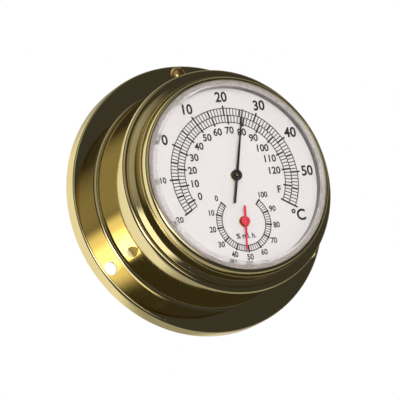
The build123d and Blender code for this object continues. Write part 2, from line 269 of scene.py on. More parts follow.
def eased(before, corner, after, radius, steps=3):
    """Points that round one corner of a profile between its two neighbours."""
    corner, before, after = Vector(corner), Vector(before), Vector(after)
    back, on = (before - corner).normalized(), (after - corner).normalized()
    half = back.angle(on) / 2
    reach = radius / math.tan(half)
    middle = corner + (back + on).normalized() * (radius / math.sin(half) - radius)
    return arc(corner + back * reach, middle, corner + on * reach, steps)


def turned(name, profile, height=0.0):
    """A lathe-turned piece: a profile of radii and depths, spun round an axis at a height."""
    points = [place(radius, depth, height) for radius, depth in profile]
    piece = drawn_line(name, points)
    bpy.ops.mesh.spin(
        steps=bpy.context.scene.hygrometer_turning.steps,
        angle=math.tau,
        center=place(0, 0, height),
        axis=(0, 1, 0),
    )
    weld()
    return piece


def peg(radius, across, height, back, front):
    """A round peg square to the wall, used to cut a hole."""
    rest()
    bpy.ops.mesh.primitive_cylinder_add(
        vertices=64,
        radius=radius * MM,
        depth=(front - back) * MM,
        location=place(across, (front + back) / 2, height),
        rotation=(math.pi / 2, 0, 0),
    )
    return bpy.context.object


def cut(piece, tools):
    """Cuts tools out of a piece, all at once."""
    rest()
    for tool in tools:
        tool.select_set(True)
    bpy.context.view_layer.objects.active = tools[0]
    if len(tools) > 1:
        bpy.ops.object.join()
    tool = bpy.context.object
    hold(piece)
    change = piece.modifiers.new("holes", "BOOLEAN")
    change.operation = "DIFFERENCE"
    change.solver = "EXACT"
    change.object = tool
    bpy.ops.object.modifier_apply(modifier=change.name)
    bpy.data.objects.remove(tool)


def together(name, parts):
    """Joins finished parts into one piece."""
    rest()
    for part in parts:
        part.select_set(True)
    bpy.context.view_layer.objects.active = parts[0]
    bpy.ops.object.join()
    piece = bpy.context.object
    piece.name = piece.data.name = name
    return piece


# ---- materials ----------------------------------------------------------------------------------
def from_axis(tree, where):
    """The way out from the case's axis, and the distance."""
    flat = add(tree, "Mapping", {"Vector": where, "Scale": (1.0, 0.0, 1.0)}).outputs[0]
    return flat, add(tree, "VectorMath", {0: flat}, operation="LENGTH").outputs["Value"]


def lathe_lanes(tree, where, pitch, run):
    """Noise drawn out round the case's axis, as a lathe leaves it: pitch across, run along."""
    flat, radius = from_axis(tree, where)
    around = add(tree, "VectorMath", {0: flat}, operation="NORMALIZE").outputs["Vector"]
    slow = add(tree, "VectorMath", {0: around, "Scale": run}, operation="SCALE").outputs["Vector"]
    deep = add(
        tree, "VectorMath", {0: where, 1: (0.0, 1.0 / (pitch * MM), 0.0)}, operation="MULTIPLY"
    ).outputs["Vector"]
    lane = add(tree, "VectorMath", {0: slow, 1: deep}, operation="ADD").outputs["Vector"]
    rings = add(tree, "Math", (radius, 1.0 / (pitch * MM)), operation="MULTIPLY").outputs[0]
    return add(
        tree,
        "TexNoise",
        {"Vector": lane, "W": rings, "Scale": 1.0, "Detail": 2.0},
        noise_dimensions="4D",
    ).outputs["Fac"]


def spun_brass(name, tint, gloss, line):
    """Brass that is spun or turned, then polished: fine lines run round it and the rest is mirror.

    The real polishing lines are under 0.05 mm apart, too fine to show, so they are drawn coarser.
    """
    made, tree, where = blank(name)
    lanes = lathe_lanes(tree, where, line, 5.0)
    cloud = add(tree, "TexNoise", {"Vector": where, "Scale": 70.0, "Detail": 3.0}).outputs["Fac"]
    haze = add(tree, "TexNoise", {"Vector": where, "Scale": 900.0, "Detail": 2.0}).outputs["Fac"]
    deeper = scaled(tint, 0.93, 0.88, 0.74)
    paint = add(tree, "Mix", {0: cloud, 6: deeper, 7: tint}, data_type="RGBA").outputs[2]
    dull = add(tree, "MapRange", (haze, 0.35, 0.75, gloss, gloss * 1.7)).outputs[0]
    # Specks of dust and pits in the lacquer, about 0.2 mm across and some 4 mm apart.
    dust = add(tree, "TexVoronoi", {"Vector": where, "Scale": 240.0}).outputs["Distance"]
    speck = add(tree, "MapRange", (dust, 0.03, 0.05, 1.0, 0.0)).outputs[0]
    rough = add(tree, "Math", {0: speck, 1: 0.3, 2: dull}, operation="MULTIPLY_ADD").outputs[0]
    waves = add(
        tree,
        "Bump",
        {
            "Height": add(
                tree, "TexNoise", {"Vector": where, "Scale": 90.0, "Detail": 1.0}
            ).outputs["Fac"],
            "Strength": 0.25,
            "Distance": 0.05 * MM,
        },
    ).outputs["Normal"]
    lines = add(
        tree,
        "Bump",
        {"Height": lanes, "Strength": 0.12, "Distance": 0.004 * MM, "Normal": waves},
    ).outputs["Normal"]
    metal = add(
        tree,
        "BsdfPrincipled",
        {
            "Base Color": paint,
            "Metallic": 1.0,
            "Roughness": rough,
            "Specular Tint": tuple(0.55 + 0.45 * channel for channel in tint),
            "Normal": lines,
        },
    )
    show(tree, metal.outputs[0])
    return made


def enamel(name, tint):
    """Stoved enamel on aluminium: matt white, with the faint ripple and flecks of sprayed paint."""
    made, tree, where = blank(name)
    ripple = add(tree, "TexNoise", {"Vector": where, "Scale": 1400.0, "Detail": 3.0}).outputs["Fac"]
    patch = add(tree, "TexNoise", {"Vector": where, "Scale": 60.0, "Detail": 2.0}).outputs["Fac"]
    warm = scaled(tint, 0.965, 0.955, 0.94)
    paint = add(tree, "Mix", {0: patch, 6: warm, 7: tint}, data_type="RGBA").outputs[2]
    skin = add(
        tree, "Bump", {"Height": ripple, "Strength": 0.15, "Distance": 0.01 * MM}
    ).outputs["Normal"]
    rough = add(tree, "MapRange", (ripple, 0.3, 0.7, 0.42, 0.55)).outputs[0]
    coat = add(
        tree,
        "BsdfPrincipled",
        {"Base Color": paint, "Roughness": rough, "IOR": 1.5, "Normal": skin},
    )
    show(tree, coat.outputs[0])
    return made


def lacquer(name, tint, rough):
    """Stoved lacquer on thin sheet: an even gloss, softened by dust nibs and faint orange peel."""
    made, tree, where = blank(name)
    peel = add(tree, "TexNoise", {"Vector": where, "Scale": 2500.0, "Detail": 2.0}).outputs["Fac"]
    thin = (tint[0] * 1.25 + 0.004, tint[1] * 1.2 + 0.004, tint[2] * 1.2 + 0.004, 1.0)
    paint = add(tree, "Mix", {0: peel, 6: tint, 7: thin}, data_type="RGBA").outputs[2]
    skin = add(
        tree, "Bump", {"Height": peel, "Strength": 0.2, "Distance": 0.01 * MM}
    ).outputs["Normal"]
    dull = add(tree, "MapRange", (peel, 0.3, 0.7, rough, rough * 1.4)).outputs[0]
    coat = add(
        tree,
        "BsdfPrincipled",
        {"Base Color": paint, "Roughness": dull, "IOR": 1.5, "Normal": skin},
    )
    show(tree, coat.outputs[0])
    return made


def ink(name, tint):
    """Screen-printed ink: matt, a little uneven where the mesh let more or less through."""
    made, tree, where = blank(name)
    weave = add(tree, "TexNoise", {"Vector": where, "Scale": 4000.0, "Detail": 2.0}).outputs["Fac"]
    thin = scaled(tint, 1.9, 1.9, 1.9)
    paint = add(tree, "Mix", {0: weave, 6: tint, 7: thin}, data_type="RGBA").outputs[2]
    film = add(tree, "BsdfPrincipled", {"Base Color": paint, "Roughness": 0.55, "IOR": 1.48})
    show(tree, film.outputs[0])
    return made


def clear_glass(name, window):
    """Float glass, clear inside the window's radius; the bevel outside it is ground and lined.

    Light for what lies behind goes straight through it.
    """
    made, tree, where = blank(name)
    radius = from_axis(tree, where)[1]
    ground = add(tree, "MapRange", (radius, (window - 0.05) * MM, (window + 0.05) * MM)).outputs[0]
    # The wheel's lines are finer than 0.1 mm; these are about 0.4 mm apart.
    lanes = lathe_lanes(tree, where, 0.4, 7.0)
    frost = add(tree, "MapRange", (lanes, 0.3, 0.7, 0.16, 0.42)).outputs[0]
    smear = add(tree, "TexNoise", {"Vector": where, "Scale": 300.0, "Detail": 3.0}).outputs["Fac"]
    clear = add(tree, "MapRange", (smear, 0.4, 0.8, 0.0, 0.02)).outputs[0]
    rough = add(tree, "Mix", {0: ground, 2: clear, 3: frost}, data_type="FLOAT").outputs[0]
    tint = add(
        tree,
        "Mix",
        {0: ground, 6: colour("FBFBFC"), 7: colour("EDE7E4")},
        data_type="RGBA",
    ).outputs[2]
    wheel = add(
        tree, "Bump", {"Height": lanes, "Strength": ground, "Distance": 0.02 * MM}
    ).outputs["Normal"]
    body = add(
        tree,
        "BsdfPrincipled",
        {
            "Base Color": tint,
            "Roughness": rough,
            "IOR": 1.52,
            "Transmission Weight": 1.0,
            "Normal": wheel,
        },
    ).outputs[0]
    shadow = add(tree, "LightPath").outputs["Is Shadow Ray"]
    through = add(tree, "BsdfTransparent", {"Color": colour("FAFCFA")}).outputs[0]
    show(tree, add(tree, "MixShader", {0: shadow, 1: body, 2: through}).outputs[0])
    return made


def turned_plastic(name, face, shaded_bore, inside):
    """A plastic ring whose inner wall, out to the radius inside, is glossier than its face and
    painted dark grey as painted shade for the recess it lies in; the face's turning streaks blend
    that grey into the face colour.
    """
    made, tree, where = blank(name)
    radius = from_axis(tree, where)[1]
    outer = add(tree, "MapRange", (radius, (inside + 0.02) * MM, (inside + 0.12) * MM)).outputs[0]
    lanes = lathe_lanes(tree, where, 0.3, 6.0)
    streak = add(tree, "Mix", {0: lanes, 6: shaded_bore, 7: face}, data_type="RGBA").outputs[2]
    # Inside the radius the ring takes the dark grey: painted shade for its inner wall, deep in the
    # recess between dial and glass.
    paint = add(tree, "Mix", {0: outer, 6: shaded_bore, 7: streak}, data_type="RGBA").outputs[2]
    rough = add(tree, "MapRange", (outer, 0.0, 1.0, 0.18, 0.4)).outputs[0]
    skin = add(
        tree, "Bump", {"Height": lanes, "Strength": 0.3, "Distance": 0.02 * MM}
    ).outputs["Normal"]
    body = add(
        tree,
        "BsdfPrincipled",
        {"Base Color": paint, "Roughness": rough, "IOR": 1.48, "Normal": skin},
    )
    show(tree, body.outputs[0])
    return made


def moulded(name, tint, grain, rough):
    """Injection-moulded plastic with a fine spark-eroded texture, grain millimetres across."""
    made, tree, where = blank(name)
    pits = add(
        tree, "TexNoise", {"Vector": where, "Scale": 1.0 / (grain * MM), "Detail": 3.0}
    ).outputs["Fac"]
    flow = add(tree, "TexNoise", {"Vector": where, "Scale": 45.0, "Detail": 2.0}).outputs["Fac"]
    pale = scaled(tint, 1.12, 1.12, 1.12)
    paint = add(tree, "Mix", {0: flow, 6: tint, 7: pale}, data_type="RGBA").outputs[2]
    skin = add(
        tree, "Bump", {"Height": pits, "Strength": 0.4, "Distance": 0.03 * MM}
    ).outputs["Normal"]
    dull = add(tree, "MapRange", (pits, 0.3, 0.7, rough, rough + 0.15)).outputs[0]
    body = add(
        tree,
        "BsdfPrincipled",
        {"Base Color": paint, "Roughness": dull, "IOR": 1.5, "Normal": skin},
    )
    show(tree, body.outputs[0])
    return made


def plated_steel(name, tint, rough):
    """Zinc-plated pressed steel: pale grey, slightly mottled, with fine rolling lines."""
    made, tree, where = blank(name)
    spangle = add(tree, "TexVoronoi", {"Vector": where, "Scale": 700.0}).outputs["Color"]
    tone = add(tree, "SeparateColor", {0: spangle}).outputs[0]
    dark = scaled(tint, 0.8, 0.82, 0.86)
    paint = add(tree, "Mix", {0: tone, 6: dark, 7: tint}, data_type="RGBA").outputs[2]
    rolled = add(tree, "Mapping", {"Vector": where, "Scale": (200.0, 9000.0, 9000.0)}).outputs[0]
    grain = add(tree, "TexNoise", {"Vector": rolled, "Scale": 1.0, "Detail": 2.0}).outputs["Fac"]
    dull = add(tree, "MapRange", (grain, 0.3, 0.7, rough, rough * 1.5)).outputs[0]
    skin = add(
        tree, "Bump", {"Height": grain, "Strength": 0.15, "Distance": 0.005 * MM}
    ).outputs["Normal"]
    shine = {"Base Color": paint, "Metallic": 1.0, "Roughness": dull, "Normal": skin}
    metal = add(tree, "BsdfPrincipled", shine)
    show(tree, metal.outputs[0])
    return made


def silicone(name, tint):
    """Moulded silicone rubber: cloudy, soft and slightly waxy."""
    made, tree, where = blank(name)
    cloud = add(tree, "TexNoise", {"Vector": where, "Scale": 500.0, "Detail": 2.0}).outputs["Fac"]
    pale = scaled(tint, 1.15, 1.15, 1.15)
    paint = add(tree, "Mix", {0: cloud, 6: tint, 7: pale}, data_type="RGBA").outputs[2]
    body = add(
        tree,
        "BsdfPrincipled",
        {
            "Base Color": paint,
            "Roughness": 0.45,
            "IOR": 1.41,
            "Subsurface Weight": 0.2,
            "Subsurface Radius": (0.001, 0.001, 0.001),
        },
    )
    show(tree, body.outputs[0])
    return made


# ---- brass case ---------------------------------------------------------------------------------
FLANGE_RADIUS = 48.5
FLANGE_FACE = 5.8
FLANGE_SHEET = 1.0
FLANGE_ROLL = 0.98
FLANGE_OPENING = 33.5
FLANGE_BREAK = 0.1  # chamfer of the skirt's edge, which lies on the wall
FLANGE_INNER_ROUND = 0.3
SCREW_CIRCLE = 45.0
SCREW_HOLE = 2.4
SCREW_COUNT = 3
DRUM_RADIUS = 39.5
DRUM_WALL = 0.8
DRUM_FRONT = 26.7
DRUM_FOOT_FLARE = 1.5
DRUM_FOOT_EDGE = 0.15
COVER_SCREW_CIRCLE = 35.6
COVER_SCREW_HOLE = 1.0
BEZEL_RADIUS = 39.9
BEZEL_BACK = 26.75
BEZEL_BORE = 34.15
BEZEL_BORE_BACK = 27.1
LIP_RADIUS = 33.6
SPIGOT_RADIUS = 38.65  # the spigot is pressed into the drum
SPIGOT_INNER = 37.4
SPIGOT_BACK = 22.3
GLASS_RADIUS = 34.1
GLASS_BACK = 35.55
GLASS_EDGE_FRONT = 35.88  # where the bevel starts at the glass's edge
GLASS_FRONT = 38.3


class HYGROMETER_OT_flange(bpy.types.Operator):
    """Pressed brass flange with a rolled rim and three screw holes"""

    bl_idname = "hygrometer.flange"
    bl_label = "Flange"

    def execute(self, context):
        rim, face, sheet, edge = FLANGE_RADIUS, FLANGE_FACE, FLANGE_SHEET, FLANGE_BREAK
        soft = FLANGE_ROLL * (1 - math.sqrt(0.5))
        roll = arc(
            (rim - FLANGE_ROLL, face), (rim - soft, face - soft), (rim, face - FLANGE_ROLL), 10
        )
        profile = [
            (FLANGE_OPENING, face),
            *roll,
            (rim, edge),
            (rim - edge, 0.0),
            (rim - sheet + edge, 0.0),
            (rim - sheet, edge),
            *eased(
                (rim - sheet, 0),
                (rim - sheet, face - sheet),
                (0, face - sheet),
                FLANGE_INNER_ROUND,
                4,
            ),
            (FLANGE_OPENING, face - sheet),
            (FLANGE_OPENING, face),
        ]
        piece = turned("flange", profile)
        tools = []
        for i in range(SCREW_COUNT):
            turn = 360 / SCREW_COUNT * i
            # The back cover's screws stand halfway between the wall screws.
            for radius, circle, angle in (
                (SCREW_HOLE, SCREW_CIRCLE, turn),
                (COVER_SCREW_HOLE, COVER_SCREW_CIRCLE, turn + 180 / SCREW_COUNT),
            ):
                tools.append(peg(radius, *clock(circle, angle), face - 2.8, face + 1.0))
        cut(piece, tools)
        settle(piece)
        dress(piece, finishes["polished_brass"], CASE, "polished_brass", "base_flange")
        return {"FINISHED"}


class HYGROMETER_OT_drum(bpy.types.Operator):
    """Drawn brass drum whose foot flares on to the flange"""

    bl_idname = "hygrometer.drum"
    bl_label = "Drum"

    def execute(self, context):
        flare, edge = DRUM_FOOT_FLARE, DRUM_FOOT_EDGE
        foot = DRUM_RADIUS + flare
        top = FLANGE_FACE + edge + flare
        mid = flare * (1 - math.sqrt(0.5))
        profile = [
            *arc(
                (foot, FLANGE_FACE + edge),
                (DRUM_RADIUS + mid, FLANGE_FACE + edge + mid),
                (DRUM_RADIUS, top),
                12,
            ),
            (DRUM_RADIUS, DRUM_FRONT),
            (DRUM_RADIUS - DRUM_WALL, DRUM_FRONT),
            (DRUM_RADIUS - DRUM_WALL, FLANGE_FACE),
            (foot, FLANGE_FACE),
            (foot, FLANGE_FACE + edge),
        ]
        piece = turned("drum", profile)
        settle(piece)
        dress(piece, finishes["polished_brass"], CASE, "polished_brass", "case_drum")
        return {"FINISHED"}


class HYGROMETER_OT_bezel(bpy.types.Operator):
    """Turned brass bezel with a roll, a groove, a sloping band, a ridge and a lip over the glass"""

    bl_idname = "hygrometer.bezel"
    bl_label = "Bezel"

    def execute(self, context):
        profile = [
            (BEZEL_RADIUS, BEZEL_BACK),
            *arc((BEZEL_RADIUS, 27.3), (39.6, 28.25), (38.6, 28.75), 14),  # roll
            (38.1, 28.76),
            *arc((37.7, 28.66), (37.6, 28.6), (37.5, 28.63), 4),  # groove, then the sloping band
            *arc((35.95, 29.2), (35.81, 29.3), (35.75, 29.5), 6),  # corner, then the steep wall
            *arc((35.6, 33.5), (35.42, 33.95), (35.12, 33.9), 10),  # ridge
            *arc((34.95, 35.3), (34.55, 36.25), (33.7, 36.7), 12),  # lip
            (LIP_RADIUS, 36.6),
            (LIP_RADIUS, 36.35),
            (BEZEL_BORE, 35.9),
            (BEZEL_BORE, BEZEL_BORE_BACK),
            (SPIGOT_INNER, BEZEL_BORE_BACK),
            (SPIGOT_INNER, SPIGOT_BACK),
            (SPIGOT_RADIUS, SPIGOT_BACK),
            (SPIGOT_RADIUS, BEZEL_BACK),
            (BEZEL_RADIUS, BEZEL_BACK),
        ]
        piece = turned("bezel", profile)
        settle(piece)
        dress(piece, finishes["turned_brass"], CASE, "polished_brass", "bezel_ring")
        return {"FINISHED"}


class HYGROMETER_OT_glass(bpy.types.Operator):
    """Thick front glass with a wide ground bevel"""

    bl_idname = "hygrometer.glass"
    bl_label = "Glass"

    def execute(self, context):
        back, edge, front = GLASS_BACK, GLASS_EDGE_FRONT, GLASS_FRONT
        outside, window, chamfer = GLASS_RADIUS, WINDOW_RADIUS, 0.08
        profile = [
            (0.0, back),
            (outside - chamfer, back),
            (outside, back + chamfer),
            *eased((outside, back), (outside, edge), (window, front), 0.1),
            *eased((outside, edge), (window, front), (0.0, front), 0.35, 4),
            (0.0, front),
        ]
        piece = turned("glass", profile)
        settle(piece)
        dress(piece, finishes["bevelled_glass"], CASE, "bevelled_glass", "front_glass")
        return {"FINISHED"}


# ---- dial ---------------------------------------------------------------------------------------
CAP_SHARE = 0.7  # height of the font's capitals, as a share of its size
DEGREES_PER_CELSIUS = 3.0
TOP_CELSIUS = 20.0  # the reading at 12 o'clock
DEGREES_PER_PERCENT = 2.7
BOTTOM_PERCENT = 50.0  # the reading at 6 o'clock


def printed_arc(radius, width, first, last, height=0.0):
    """A printed arc from one clockwise angle to another, as a closed band of ink."""
    sizes = bpy.context.scene.hygrometer_dial
    x, z = clock(radius, first, height)
    rest()
    bpy.ops.mesh.primitive_plane_add(
        size=1.0,
        location=place(x, DIAL_FACE, z),
        rotation=(0.0, math.radians(first), 0.0),
    )
    piece = bpy.context.object
    bpy.ops.object.mode_set(mode="EDIT")
    bpy.ops.mesh.select_all(action="SELECT")
    bpy.ops.transform.rotate(
        value=math.radians(90), orient_axis="Y", orient_type="LOCAL", center_override=piece.location
    )
    bpy.ops.object.mode_set(mode="OBJECT")
    piece.scale = (1.0, 2 * sizes.ink, width * MM)
    bpy.ops.object.mode_set(mode="EDIT")
    bpy.ops.mesh.select_all(action="SELECT")
    bpy.ops.mesh.spin(
        steps=max(8, round((last - first) / 1.5)),
        angle=math.radians(last - first),
        center=place(0, 0, height),
        axis=(0, -1, 0),
    )
    weld()
    settle(piece)
    return piece


def printed_ticks(inside, outside, width, first, last, gaps, height=0.0):
    """Evenly spaced printed marks between two radii, one more than the gaps."""
    sizes = bpy.context.scene.hygrometer_dial
    x, z = clock((inside + outside) / 2, first, height)
    rest()
    bpy.ops.mesh.primitive_cube_add(
        size=1.0,
        location=place(x, DIAL_FACE, z),
        rotation=(0.0, math.radians(first), 0.0),
        scale=(width * MM, 2 * sizes.ink, (outside - inside) * MM),
    )
    piece = bpy.context.object
    if gaps:
        bpy.ops.object.mode_set(mode="EDIT")
        bpy.ops.mesh.select_all(action="SELECT")
        bpy.ops.mesh.spin(
            steps=gaps,
            angle=math.radians(last - first),
            center=place(0, 0, height),
            axis=(0, -1, 0),
            dupli=True,
        )
    settle(piece)
    return piece


def printed_word(text, cap, across, up, squeeze=0.93):
    """Printed letters or figures of a cap height, centred on a point of the dial."""
    sizes = bpy.context.scene.hygrometer_dial
    em = cap * MM / CAP_SHARE
    rest()
    bpy.ops.object.text_add(
        location=place(across, DIAL_FACE, up), rotation=(math.pi / 2, 0.0, 0.0)
    )
    words = bpy.context.object
    words.data.body = text
    words.data.align_x = "CENTER"
    words.data.align_y = "CENTER"
    words.data.extrude = sizes.ink / em
    words.data.resolution_u = 4
    words.data.offset = sizes.weight
    bpy.ops.object.convert(target="MESH")
    piece = bpy.context.object
    piece.scale = (squeeze * em, em, em)
    settle(piece)
    bpy.ops.object.mode_set(mode="EDIT")
    weld()
    bpy.ops.object.mode_set(mode="OBJECT")
    return piece


class HYGROMETER_OT_dial(bpy.types.Operator):
    """White dial with Celsius and Fahrenheit scales round a smaller humidity scale"""

    bl_idname = "hygrometer.dial"
    bl_label = "Dial"

    def execute(self, context):
        sizes = context.scene.hygrometer_dial
        outer, middle, inner = (
            size / MM for size in (sizes.outer_arc, sizes.middle_arc, sizes.inner_arc)
        )
        wide, narrow = sizes.humidity_outer / MM, sizes.humidity_inner / MM
        fine, bold = sizes.fine_line / MM, sizes.bold_line / MM
        low = HUMIDITY_HEIGHT

        def celsius(value):
            return DEGREES_PER_CELSIUS * (value - TOP_CELSIUS)

        def fahrenheit(value):
            return celsius((value - 32.0) / 1.8)

        def humidity(value):
            return 180.0 - DEGREES_PER_PERCENT * (value - BOTTOM_PERCENT)

        marks = [
            printed_arc(outer, fine, celsius(-20), celsius(60)),
            printed_arc(middle, fine, celsius(-20), celsius(60)),
            printed_arc(inner, fine, celsius(-20), celsius(60)),
            printed_ticks(middle, outer, fine, celsius(-20), celsius(60), 80),
            printed_ticks(middle, outer, bold, celsius(-20), celsius(60), 16),
            printed_ticks(middle, outer + 0.95, bold, celsius(-20), celsius(60), 8),
            printed_ticks(inner, middle, fine, fahrenheit(-4), fahrenheit(140), 72),
            printed_ticks(inner - 0.8, middle, bold, fahrenheit(0), fahrenheit(140), 14),
            printed_arc(wide, fine, humidity(100), humidity(0), low),
            printed_arc(narrow, fine, humidity(100), humidity(0), low),
            printed_ticks(narrow, wide, 0.8 * fine, humidity(100), humidity(0), 50, low),
            printed_ticks(narrow, wide + 0.4, bold, humidity(100), humidity(0), 10, low),
        ]
        # Each run of figures: its values, scale, cap height, radius as a share of the outer arc,
        # height of its centre and width of its letters.
        for values, scale, cap, reach, height, squeeze in (
            ((-20, -10), celsius, 2.0, 1.165, 0.0, 0.93),
            (range(0, 60, 10), celsius, 3.45, 1.161, 0.0, 0.93),
            (range(0, 100, 10), fahrenheit, 2.45, 0.668, 0.0, 0.96),
            (range(100, 130, 10), fahrenheit, 2.45, 0.632, 0.0, 0.96),
            (range(0, 100, 10), humidity, 1.95, 0.515, low, 0.9),
            ((100,), humidity, 1.95, 0.525, low, 0.9),
        ):
            for value in values:
                across, up = clock(reach * outer, scale(value), height)
                marks.append(printed_word(str(value), cap, across, up, squeeze))
        marks.append(printed_word("F", 2.45, 15.8, -5.85))
        marks.append(printed_word("C", 3.8, 22.45, -15.4))
        marks.append(printed_word("°", 3.8, 19.75, -15.4))
        marks.append(printed_word("% rel. h.", 1.8, -0.1, -21.15, 0.9))
        piece = together("dial_print", marks)
        dress(piece, finishes["print_ink"], CASE, "dial_enamel")
        return {"FINISHED"}


# ---- pointers -----------------------------------------------------------------------------------
POINTER_BACK = 34.0
POINTER_SHEET = 0.3


def pointer(name, height, turn, needle, tail, boss, root, tip, tail_width):
    """A pointer punched from sheet, its needle turned clockwise from 12 o'clock.

    needle, tail and boss are reaches from the arbor, and root, tip and tail_width are widths.
    """

    def spot(across, up):
        angle = math.radians(turn)
        x = across * math.cos(angle) + up * math.sin(angle)
        z = up * math.cos(angle) - across * math.sin(angle)
        return place(x, POINTER_BACK, height + z)

    at_boss = root / 2 - (root - tip) / 2 * boss / needle
    # The boss's round runs from where the needle leaves it to where the tail does.
    upper = math.asin(at_boss / boss)
    lower = math.asin(tail_width / 2 / boss)
    steps = 28
    right = [upper + (math.pi - lower - upper) * i / steps for i in range(steps + 1)]
    end = tail_width / 2
    outline = [
        (-tip / 2, needle - 0.1),
        (-tip / 4, needle),
        (tip / 4, needle),
        (tip / 2, needle - 0.1),
        *[(boss * math.sin(a), boss * math.cos(a)) for a in right],
        (end, 0.25 - tail),
        (end - 0.1, -tail),
        (0.1 - end, -tail),
        (-end, 0.25 - tail),
        *[(-boss * math.sin(a), boss * math.cos(a)) for a in reversed(right)],
        (-tip / 2, needle - 0.1),
    ]
    points = [spot(x, y) for x, y in outline]
    piece = drawn_line(name, points)
    bpy.ops.mesh.edge_face_add()
    bpy.ops.mesh.extrude_region_move(
        TRANSFORM_OT_translate={"value": place(0, POINTER_SHEET, 0)}
    )
    weld()
    front = -(POINTER_BACK + POINTER_SHEET) * MM
    pick(piece, "EDGE", lambda _, ends: all(abs(end.y - front) < 0.01 * MM for end in ends))
    bpy.ops.mesh.bevel(offset=0.06 * MM, segments=2)
    settle(piece)
    return piece


class HYGROMETER_OT_pointers(bpy.types.Operator):
    """Black temperature pointer and red humidity pointer"""

    bl_idname = "hygrometer.pointers"
    bl_label = "Pointers"

    def execute(self, context):
        black = pointer("temperature_needle", 0.0, 16.2, 23.9, 10.2, 1.9, 0.95, 0.35, 0.9)
        dress(
            black,
            finishes["black_lacquer"],
            "temperature_hand",
            "black_lacquer",
            "temperature_pointer",
        )
        red = pointer("humidity_needle", HUMIDITY_HEIGHT, 188.1, 10.3, 5.4, 1.6, 0.8, 0.4, 0.75)
        dress(
            red, finishes["red_lacquer"], "humidity_hand", "red_lacquer", "humidity_pointer"
        )
        return {"FINISHED"}


# ---- wall screw ---------------------------------------------------------------------------------
class HYGROMETER_OT_wall_screw(bpy.types.Operator):
    """Round-head brass wood screw in the top hole, with its slot and thread"""

    bl_idname = "hygrometer.wall_screw"
    bl_label = "Wall screw"

    def execute(self, context):
        # Radii of the head, plain neck, thread's core and crest; the head's height and the tip.
        head, neck, core, crest = 3.1, 1.7, 1.3, 1.9
        rise, taper, tip = 2.3, -13.0, -16.9
        under = FLANGE_FACE
        radius = (head**2 + rise**2) / (2 * rise)
        centre = under + rise - radius
        dome = [
            (radius * math.sin(a), centre + radius * math.cos(a))
            for a in [math.asin(head / radius) * i / 16 for i in range(17)]
        ]
        profile = [
            (0.0, under + rise),
            *dome[1:-1],
            (head - 0.03, under + 0.08),
            (head - 0.06, under),
            (neck, under),
            (neck, 0.0),
            (core, -0.6),
            (core, taper),
            (0.0, tip),
        ]
        blank_screw = turned("wall_screw_blank", profile, SCREW_CIRCLE)
        rest()
        bpy.ops.mesh.primitive_cube_add(
            size=1.0,
            location=place(0, under + rise, SCREW_CIRCLE),
            rotation=(0.0, math.radians(35), 0.0),
            scale=(0.8 * MM, 2.0 * MM, 8.2 * MM),
        )
        cut(blank_screw, [bpy.context.object])
        settle(blank_screw)
        turns, pitch = 9, 1.45
        ridge = [(core - 0.15, -0.35), (crest, -0.7), (crest, -0.8), (core - 0.15, -1.15)]
        points = [place(r, d, SCREW_CIRCLE) for r, d in [*ridge, ridge[0]]]
        thread = drawn_line("wall_screw_thread", points)
        lead = turns * pitch * MM
        bpy.ops.mesh.spin(
            steps=32 * turns,
            angle=math.tau * turns,
            center=place(0, 0, SCREW_CIRCLE),
            axis=(0, 1, 0),
            use_auto_merge=False,
        )
        bpy.ops.object.mode_set(mode="OBJECT")
        drawn = thread.data.vertices
        corners = len(ridge)
        # Each copy of the ridge's outline is carried a little further along the screw.
        for index, vertex in enumerate(drawn):
            vertex.co.y += lead * (index // corners) / (len(drawn) // corners - 1)
        bpy.ops.object.mode_set(mode="EDIT")
        bpy.ops.mesh.select_all(action="SELECT")
        bpy.ops.mesh.fill_holes(sides=4)
        bpy.ops.mesh.normals_make_consistent(inside=False)
        settle(thread)
        piece = together("wall_screw", [blank_screw, thread])
        dress(piece, finishes["screw_brass"], CASE, "screw_brass", "top_wall_screw")
        return {"FINISHED"}


# ---- pieces whose CAD shape is kept -------------------------------------------------------------
class HYGROMETER_OT_inside(bpy.types.Operator):
    """Finishes for the dial plate, the stack behind the glass, both movements and the back"""

    bl_idname = "hygrometer.inside"
    bl_label = "Inside and back"

    def execute(self, context):
        looks = {
            "dial_plate": "dial_enamel",
            "glass_gasket": "gasket_silicone",
            "spacer_ring": "spacer_plastic",
            "dial_carrier": "carrier_plastic",
            "retaining_ring": "turned_brass",
            "back_cover": "cover_plastic",
            "back_cover_screws": "zinc_steel",
        }
        for side in ("temperature", "humidity"):
            for part in ("front_bush", "bush_nut", "rear_bush", "arbor", "collet"):
                looks[f"{side}_{part}"] = "fine_brass"
            for part in ("bridge", "bridge_screws", "adjuster", "adjuster_washer"):
                looks[f"{side}_{part}"] = "zinc_steel"
        looks["temperature_coil"] = "bimetal_strip"
        looks["humidity_coil"] = "humidity_strip"
        for node, look in looks.items():
            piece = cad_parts[node]
            piece.data.materials.clear()
            piece.data.materials.append(finishes[look])
        return {"FINISHED"}


# ---- finishes -----------------------------------------------------------------------------------
finishes = {}


